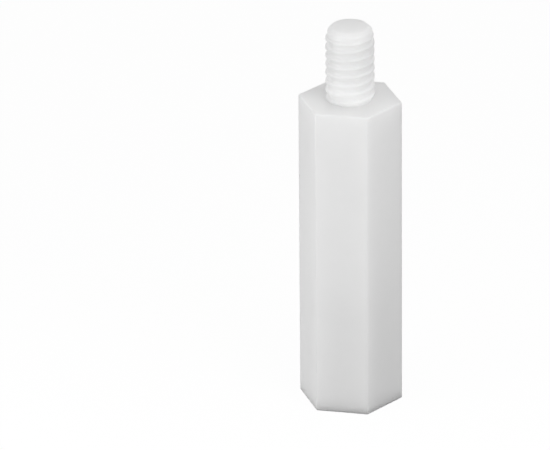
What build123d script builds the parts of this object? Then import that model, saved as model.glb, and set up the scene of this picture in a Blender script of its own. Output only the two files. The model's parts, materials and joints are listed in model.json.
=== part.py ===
from build123d import *
from math import radians, tan
import os

os.makedirs("parts", exist_ok=True)

# Hex standoff, moulded in one piece: a hexagonal body that stands on its bottom face, a stud on top
# for a tapped hole or a nut, and a blind tapped hole below for a screw. Lengths are in millimetres.
# The origin is the centre of the bottom face, +Z runs up the body, and two flats face front and back.

# Hexagonal body
across_flats = 7.0
body_length = 25.0
corner_radius = 0.15
rim_radius = 0.12
hex_sides = 6

# Stud, at the diameter over its thread's crests, with a lead-in taper and a plain pilot at the tip
stud_diameter = 3.75
stud_length = 6.0
lead_in_length = 0.6
pilot_diameter = 3.42
pilot_length = 0.5
tip_chamfer = 0.35

# Blind hole, at the tapping diameter of the same thread
hole_diameter = 3.3
hole_depth = 10.0
hole_end_angle = 118.0
mouth_diameter = 4.3
mouth_angle = 90.0

with BuildPart() as standoff:
    # Hexagonal bar with softly moulded long edges and end rims
    with BuildSketch(Plane.XY):
        RegularPolygon(radius=across_flats / 2, side_count=hex_sides, major_radius=False)
    extrude(amount=body_length)
    fillet(standoff.edges().filter_by(Axis.Z), radius=corner_radius)
    end_faces = standoff.faces().filter_by(Axis.Z)
    fillet(end_faces.edges(), radius=rim_radius)

    # Stud, turned about the body's axis: shank, lead-in, pilot and chamfered tip
    shank_radius = stud_diameter / 2
    pilot_radius = pilot_diameter / 2
    tip = body_length + stud_length
    pilot_bottom = tip - pilot_length
    with BuildSketch(Plane.XZ):
        with BuildLine():
            Polyline(
                (0, body_length),
                (shank_radius, body_length),
                (shank_radius, pilot_bottom - lead_in_length),
                (pilot_radius, pilot_bottom),
                (pilot_radius, tip - tip_chamfer),
                (pilot_radius - tip_chamfer, tip),
                (0, tip),
                close=True,
            )
        make_face()
    revolve(axis=Axis.Z)

    # Tapped hole, cut from the bottom face: countersunk mouth, wall at the tapping size, drilled end
    hole_radius = hole_diameter / 2
    mouth_radius = mouth_diameter / 2
    mouth_depth = (mouth_radius - hole_radius) / tan(radians(mouth_angle / 2))
    hole_end_depth = hole_radius / tan(radians(hole_end_angle / 2))
    with BuildSketch(Plane.XZ):
        with BuildLine():
            Polyline(
                (0, 0),
                (mouth_radius, 0),
                (hole_radius, mouth_depth),
                (hole_radius, hole_depth),
                (0, hole_depth + hole_end_depth),
                close=True,
            )
        make_face()
    revolve(axis=Axis.Z, mode=Mode.SUBTRACT)

standoff.part.label = "hex_standoff"
export_step(standoff.part, "parts/hex_standoff.step")
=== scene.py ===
import json
from math import ceil, cos, hypot, pi, radians, sin, tan

import bmesh
import bpy
from mathutils import Matrix, Quaternion, Vector


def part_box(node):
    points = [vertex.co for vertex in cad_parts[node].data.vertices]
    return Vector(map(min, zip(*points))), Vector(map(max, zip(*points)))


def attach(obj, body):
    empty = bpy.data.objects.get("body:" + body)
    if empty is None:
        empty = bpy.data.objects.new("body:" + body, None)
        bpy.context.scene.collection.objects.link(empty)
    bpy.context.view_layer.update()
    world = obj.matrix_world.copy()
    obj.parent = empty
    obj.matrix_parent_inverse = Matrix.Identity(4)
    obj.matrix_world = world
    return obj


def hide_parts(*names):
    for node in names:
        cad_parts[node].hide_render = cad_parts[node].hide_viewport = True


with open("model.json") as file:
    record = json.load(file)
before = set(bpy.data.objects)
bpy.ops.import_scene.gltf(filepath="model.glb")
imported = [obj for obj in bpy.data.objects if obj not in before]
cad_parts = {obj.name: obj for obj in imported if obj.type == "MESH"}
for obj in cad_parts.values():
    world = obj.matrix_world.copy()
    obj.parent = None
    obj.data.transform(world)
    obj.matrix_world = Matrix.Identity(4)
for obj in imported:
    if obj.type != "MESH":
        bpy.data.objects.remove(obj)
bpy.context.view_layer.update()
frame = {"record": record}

# Moulded standoff
# One injection moulding in natural white nylon: a hexagonal bar, a threaded stud on its top end and a blind
# tapped hole in its bottom end. It is one closed mesh, because light travels through the whole piece.
mm = 0.001
mounts = {mount["name"]: mount for mount in frame["record"]["mounts"]}
low_corner, high_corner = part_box("hex_standoff")
across_flats = high_corner.y - low_corner.y
tip_height = high_corner.z
shoulder_height = mounts["shoulder_face"]["pos_m"][2]
crest_radius = mounts["stud"]["dims"]["r_mm"] * mm
tapping_radius = mounts["tapped_hole"]["dims"]["r_mm"] * mm
weld_distance = 0.001 * mm

standoff = bmesh.new()

# Hexagonal bar: a six-sided disc drawn up to the shoulder, with soft long edges and rims and open ends
hex_sides = 6
half_corner = pi / hex_sides
corner_radius = 0.15 * mm
corner_segments = 8
rim_radius = 0.12 * mm
rim_segments = 6
bmesh.ops.create_circle(
    standoff,
    cap_ends=True,
    segments=hex_sides,
    radius=across_flats / 2 / cos(half_corner),
    matrix=Matrix.Rotation(half_corner, 4, "Z"),
)
bar_end = bmesh.ops.extrude_face_region(standoff, geom=standoff.faces[:])["geom"]
bar_end_points = [item for item in bar_end if isinstance(item, bmesh.types.BMVert)]
bmesh.ops.translate(standoff, vec=(0, 0, shoulder_height), verts=bar_end_points)


def is_level(edge):
    """True for an edge that runs across the axis."""
    return abs(edge.verts[0].co.z - edge.verts[1].co.z) < weld_distance


def rounded(geometry, distance, segments, kind="EDGES"):
    """Rounds edges, or the corners of a loose line."""
    bmesh.ops.bevel(
        standoff,
        geom=geometry,
        offset=distance,
        affect=kind,
        segments=segments,
        profile=0.5,
        material=-1,
    )


long_edges = [edge for edge in standoff.edges if not is_level(edge)]
rounded(long_edges, corner_radius * tan(half_corner), corner_segments)
end_edges = [edge for edge in standoff.edges if is_level(edge)]
rounded(end_edges, rim_radius, rim_segments)
end_faces = [face for face in standoff.faces if all(is_level(edge) for edge in face.edges)]
bmesh.ops.delete(standoff, geom=end_faces, context="FACES_ONLY")

# Both threads: a line over all the ridges on one side, spun once round the axis with a rise of one pitch
thread_pitch = 0.7 * mm
half_thread_angle = radians(30)
thread_rounding = 0.04 * mm
thread_rounding_segments = 3
steps_per_turn = 96
spare_ridges = 2


def eased(value):
    """0 to 1 with a soft start and end."""
    value = min(max(value, 0), 1)
    return value * value * (3 - 2 * value)


def open_edges(height):
    """The edges round what is open at a height."""
    return [
        edge
        for edge in standoff.edges
        if edge.is_boundary and all(abs(point.co.z - height) < weld_distance for point in edge.verts)
    ]


def threaded(ridge_radius, groove_radius, ridge_width, start_angle, start, end, plain_radius, depth_share):
    """Adds a right-hand thread between two heights, as deep as depth_share says for each height.

    Where the share is 0 the wall is plain. The spun line rises by one pitch, so its last copy lands one
    ridge higher, and the doubles are merged.
    """
    old_points = set(standoff.verts)
    half_ridge = ridge_width / 2
    flank = abs(ridge_radius - groove_radius) * tan(half_thread_angle)
    around = Matrix.Rotation(start_angle, 3, "Z")
    corners = []
    for ridge in range(-spare_ridges, ceil((end - start) / thread_pitch) + spare_ridges):
        middle = start + ridge * thread_pitch
        for radius, rise in (
            (groove_radius, -half_ridge - flank),
            (ridge_radius, -half_ridge),
            (ridge_radius, half_ridge),
            (groove_radius, half_ridge + flank),
        ):
            corners.append(standoff.verts.new(around @ Vector((radius, 0, middle + rise))))
    for lower, upper in zip(corners, corners[1:]):
        standoff.edges.new((lower, upper))
    rounded(corners[1:-1], thread_rounding, thread_rounding_segments, "VERTICES")
    line = [edge for edge in standoff.edges if edge.is_wire]
    bmesh.ops.spin(
        standoff,
        geom=line + list({point for edge in line for point in edge.verts}),
        axis=(0, 0, 1),
        dvec=(0, 0, thread_pitch / steps_per_turn),
        angle=2 * pi,
        steps=steps_per_turn,
    )
    points = [point for point in standoff.verts if point not in old_points]
    for point in points:
        plain = plain_radius / hypot(point.co.x, point.co.y)
        share = plain + (1 - plain) * depth_share(point.co.z)
        point.co = (point.co.x * share, point.co.y * share, min(point.co.z, end))
    bmesh.ops.remove_doubles(standoff, verts=points, dist=weld_distance)
    points = {point for point in standoff.verts if point not in old_points}
    edges = {edge for point in points for edge in point.link_edges}
    faces = {face for point in points for face in point.link_faces}
    bmesh.ops.bisect_plane(
        standoff,
        geom=[*points, *edges, *faces],
        dist=weld_distance,
        plane_co=(0, 0, start),
        plane_no=(0, 0, 1),
        clear_inner=True,
    )


def drawn(edges, rise, share):
    """Draws a ring of edges along the axis, with its radius changed by a share, and returns it there."""
    grown = bmesh.ops.extrude_edge_only(standoff, edges=edges)["geom"]
    points = {item for item in grown if isinstance(item, bmesh.types.BMVert)}
    bmesh.ops.scale(standoff, vec=(share, share, 1), verts=list(points))
    bmesh.ops.translate(standoff, vec=(0, 0, rise), verts=list(points))
    return [
        item
        for item in grown
        if isinstance(item, bmesh.types.BMEdge) and points.issuperset(item.verts)
    ]


# Stud: the thread rises straight from the shoulder and fades into a plain pilot with a chamfered end
stud_groove_radius = 1.71 * mm
stud_ridge_width = 0.2 * mm
stud_start_angle = radians(130)
pilot_radius = 1.71 * mm
pilot_length = 0.4 * mm
fade_length = 0.55 * mm
tip_chamfer = 0.33 * mm
tip_rounding = 0.06 * mm
tip_segments = 3
pilot_bottom = tip_height - pilot_length
threaded(
    crest_radius,
    stud_groove_radius,
    stud_ridge_width,
    stud_start_angle,
    shoulder_height,
    pilot_bottom,
    pilot_radius,
    lambda height: eased((pilot_bottom - height) / fade_length),
)
bmesh.ops.triangle_fill(standoff, use_beauty=True, edges=open_edges(shoulder_height))
pilot_edge = drawn(open_edges(pilot_bottom), pilot_length - tip_chamfer, 1)
tip_edge = drawn(pilot_edge, tip_chamfer, 1 - tip_chamfer / pilot_radius)
bmesh.ops.edgeloop_fill(standoff, edges=tip_edge)
bmesh.ops.recalc_face_normals(standoff, faces=standoff.faces[:])
rounded(pilot_edge + tip_edge, tip_rounding, tip_segments)

# Tapped hole: a countersunk mouth, a thread cut into the wall, and a drilled end
hole_groove_radius = 2.0 * mm
hole_ridge_width = 0.175 * mm
hole_start_angle = 0
mouth_radius = 2.15 * mm
mouth_depth = mouth_radius - tapping_radius
hole_depth = 10 * mm
hole_end_angle = radians(118)
hole_fade_length = 0.5 * mm
threaded(
    tapping_radius,
    hole_groove_radius,
    hole_ridge_width,
    hole_start_angle,
    mouth_depth,
    hole_depth,
    tapping_radius,
    lambda height: (
        eased((height - mouth_depth) / hole_fade_length) * eased((hole_depth - height) / thread_pitch)
    ),
)
drawn(open_edges(mouth_depth), -mouth_depth, mouth_radius / tapping_radius)
bmesh.ops.triangle_fill(standoff, use_beauty=True, edges=open_edges(0))
hole_end_depth = tapping_radius / tan(hole_end_angle / 2)
drill_edge = drawn(open_edges(hole_depth), hole_end_depth, weld_distance / tapping_radius)
drill_points = list({point for edge in drill_edge for point in edge.verts})
bmesh.ops.pointmerge(standoff, verts=drill_points, merge_co=(0, 0, hole_depth + hole_end_depth))

# Finish of the mesh: welded, facing outwards, smooth but for the foot of the stud and the ends of the hole
last_weld_distance = 0.0001 * mm
crease_angle = radians(38)
bmesh.ops.remove_doubles(standoff, verts=standoff.verts[:], dist=last_weld_distance)
bmesh.ops.recalc_face_normals(standoff, faces=standoff.faces[:])
for face in standoff.faces:
    face.smooth = True
for edge in standoff.edges:
    edge.smooth = edge.calc_face_angle(0) < crease_angle
scene = bpy.context.scene


def placed(shape, name):
    """Makes a finished shape an object of the scene."""
    mesh = bpy.data.meshes.new(name)
    shape.to_mesh(mesh)
    shape.free()
    made = bpy.data.objects.new(name, mesh)
    scene.collection.objects.link(made)
    return made


piece = placed(standoff, "moulded_standoff")
weighted = piece.modifiers.new("weighted_normals", "WEIGHTED_NORMAL")
weighted.keep_sharp = True


class Shade:
    """An output of a shader node, or an empty tree. Sums and products of outputs add Math nodes."""

    def __init__(self, tree, socket=None):
        self.tree = tree
        self.socket = socket

    def node(self, kind, settings, sockets, output=0):
        """Adds a node of any kind, with its settings first and then its sockets' values or links."""
        made = self.tree.nodes.new(kind)
        for name, value in settings.items():
            setattr(made, name, value)
        for name, value in sockets.items():
            if isinstance(value, Shade):
                self.tree.links.new(value.socket, made.inputs[name])
            else:
                made.inputs[name].default_value = value
        return Shade(self.tree, made.outputs[output]) if made.outputs else None

    def math(self, operation, first, second):
        return self.node("ShaderNodeMath", {"operation": operation}, {0: first, 1: second})

    def __add__(self, other):
        return self.math("ADD", self, other)

    def __radd__(self, other):
        return self.math("ADD", other, self)

    def __mul__(self, other):
        return self.math("MULTIPLY", self, other)

    def __rmul__(self, other):
        return self.math("MULTIPLY", other, self)


def emptied(owner):
    """The shader tree of a material or a world, with nothing in it."""
    owner.use_nodes = True
    owner.node_tree.nodes.clear()
    return Shade(owner.node_tree)


def noise(place, size, detail):
    """Soft random values over a surface, with blots of about a size."""
    return place.node("ShaderNodeTexNoise", {}, {"Vector": place, "Scale": 1 / size, "Detail": detail})


# Natural nylon: milky and slightly translucent, with a satin skin, faint clouds and fine lines along it
clear_nylon = (0.83, 0.83, 0.83, 1)
milky_nylon = (0.87, 0.87, 0.868, 1)
cloud_size = 3.0 * mm
cloud_detail = 3
grain_size = 0.06 * mm
grain_share = 0.6
line_spacing = 0.25 * mm
line_stretch = 25
fine_detail = 2
skin_relief = 0.004 * mm
skin_strength = 0.25
satin_roughness = 0.26
cloud_roughness = 0.1
nylon_refraction = 1.53
light_travel = 2.2 * mm
nylon = bpy.data.materials.new("natural_nylon")
shade = emptied(nylon)
place = shade.node("ShaderNodeTexCoord", {}, {}, "Object")
along = shade.node("ShaderNodeMapping", {}, {"Vector": place, "Scale": (1, 1, 1 / line_stretch)})
clouds = noise(place, cloud_size, cloud_detail)
grain = noise(place, grain_size, fine_detail)
lines = noise(along, line_spacing, fine_detail)

# The colour sockets of a Mix node go by number, because other sockets share their names
first_colour = 6
second_colour = 7
mixed_colour = 2
colour = shade.node(
    "ShaderNodeMix",
    {"data_type": "RGBA"},
    {"Factor": clouds, first_colour: clear_nylon, second_colour: milky_nylon},
    mixed_colour,
)
relief = grain_share * grain + (1 - grain_share) * lines
skin = shade.node(
    "ShaderNodeBump",
    {},
    {"Height": relief, "Strength": skin_strength, "Distance": skin_relief},
)
surface = shade.node(
    "ShaderNodeBsdfPrincipled",
    {},
    {
        "Base Color": colour,
        "Roughness": satin_roughness + cloud_roughness * clouds,
        "Normal": skin,
        "IOR": nylon_refraction,
        "Subsurface Weight": 1,
        "Subsurface Radius": (1, 1, 1),
        "Subsurface Scale": light_travel,
    },
)
shade.node("ShaderNodeOutputMaterial", {}, {"Surface": surface})
piece.data.materials.append(nylon)
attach(piece, "root")
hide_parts("hex_standoff")

# Floor
# A plain table top of white paper under the piece. The camera sees it white, with a faint contact shadow,
# and it gives little light back to the piece.
floor_size = 2.0
floor_gap = 0.02 * mm
floor_bounce = 0.15
floor_shadow_share = 0.05
pure_white = (1, 1, 1, 1)
floor_shape = bmesh.new()
bmesh.ops.create_grid(
    floor_shape,
    x_segments=1,
    y_segments=1,
    size=floor_size / 2,
    matrix=Matrix.Translation((0, 0, -floor_gap)),
)
floor = placed(floor_shape, "table_top")


def seen_directly(shade):
    """1 for what the camera sees, also in gloss or through clear parts, and 0 for what only lights."""
    rays = ("Is Camera Ray", "Is Glossy Ray", "Is Transmission Ray")
    straight, in_gloss, through = (shade.node("ShaderNodeLightPath", {}, {}, ray) for ray in rays)
    return straight + in_gloss + through


def between(share, first, second):
    """A surface or a light between two: the first at a share of 0, and the second at 1."""
    return share.node("ShaderNodeMixShader", {}, {0: share, 1: first, 2: second})


paper = bpy.data.materials.new("white_paper")
shade = emptied(paper)
seen = seen_directly(shade)
lit = shade.node("ShaderNodeBsdfDiffuse", {}, {"Color": floor_bounce + (1 - floor_bounce) * seen})
white = shade.node("ShaderNodeEmission", {}, {"Color": pure_white, "Strength": 1})
paper_surface = between((1 - floor_shadow_share) * seen, lit, white)
shade.node("ShaderNodeOutputMaterial", {}, {"Surface": paper_surface})
floor.data.materials.append(paper)

# Studio light
# Two small soft boxes of about equal power, close to the piece at the front left and the front right. The
# room round them is even and pale, and the camera sees it white.
lamp_distance = 65 * mm
lamp_size = 40 * mm
room_strength = 0.653
scene.view_settings.view_transform = "Standard"


def direction(azimuth, elevation):
    """Unit vector from the piece towards a place in the room."""
    turn = radians(azimuth)
    rise = radians(elevation)
    return Vector((sin(turn) * cos(rise), -cos(turn) * cos(rise), sin(rise)))


def soft_box(name, azimuth, elevation, power):
    """A square lamp that faces the middle of the piece."""
    lamp = bpy.data.lights.new(name, "AREA")
    lamp.size = lamp_size
    lamp.energy = power
    holder = bpy.data.objects.new(name, lamp)
    towards = direction(azimuth, elevation)
    holder.location = towards * lamp_distance + Vector((0, 0, tip_height / 2))
    holder.rotation_mode = "QUATERNION"
    holder.rotation_quaternion = towards.to_track_quat("Z", "Y")
    scene.collection.objects.link(holder)


soft_box("left_box", azimuth=-48, elevation=4, power=0.0163)
soft_box("right_box", azimuth=45, elevation=25, power=0.0171)
room = bpy.data.worlds.new("pale_room")
scene.world = room
shade = emptied(room)
room_light = shade.node("ShaderNodeBackground", {}, {"Color": pure_white, "Strength": room_strength})
room_white = shade.node("ShaderNodeBackground", {}, {"Color": pure_white, "Strength": 1})
room_surface = between(seen_directly(shade), room_light, room_white)
shade.node("ShaderNodeOutputWorld", {}, {"Surface": room_surface})

# Camera
# A long lens that stands at the front, a little to the right, and looks down on the piece. It aims to the
# left of the piece, which so comes right of the picture's middle.
image_width = 550
sensor_width = 36.0
focal_length_px = 7984
camera_azimuth = 11.985
camera_elevation = 24.594
camera_roll = -0.447
camera_distance = 613 * mm
aim_side = -5.797 * mm
aim_height = 14.412 * mm
view_camera = bpy.data.cameras.new("view_camera")
view_camera.sensor_width = sensor_width
view_camera.lens = focal_length_px / image_width * sensor_width
camera = bpy.data.objects.new("view_camera", view_camera)
towards = direction(camera_azimuth, camera_elevation)
sideways = direction(camera_azimuth + 90, 0)
aim = sideways * aim_side + Vector((0, 0, aim_height))
camera.location = aim + towards * camera_distance
camera.rotation_mode = "QUATERNION"
level_view = towards.to_track_quat("Z", "Y")
camera.rotation_quaternion = level_view @ Quaternion((0, 0, 1), radians(camera_roll))
scene.collection.objects.link(camera)
scene.camera = camera
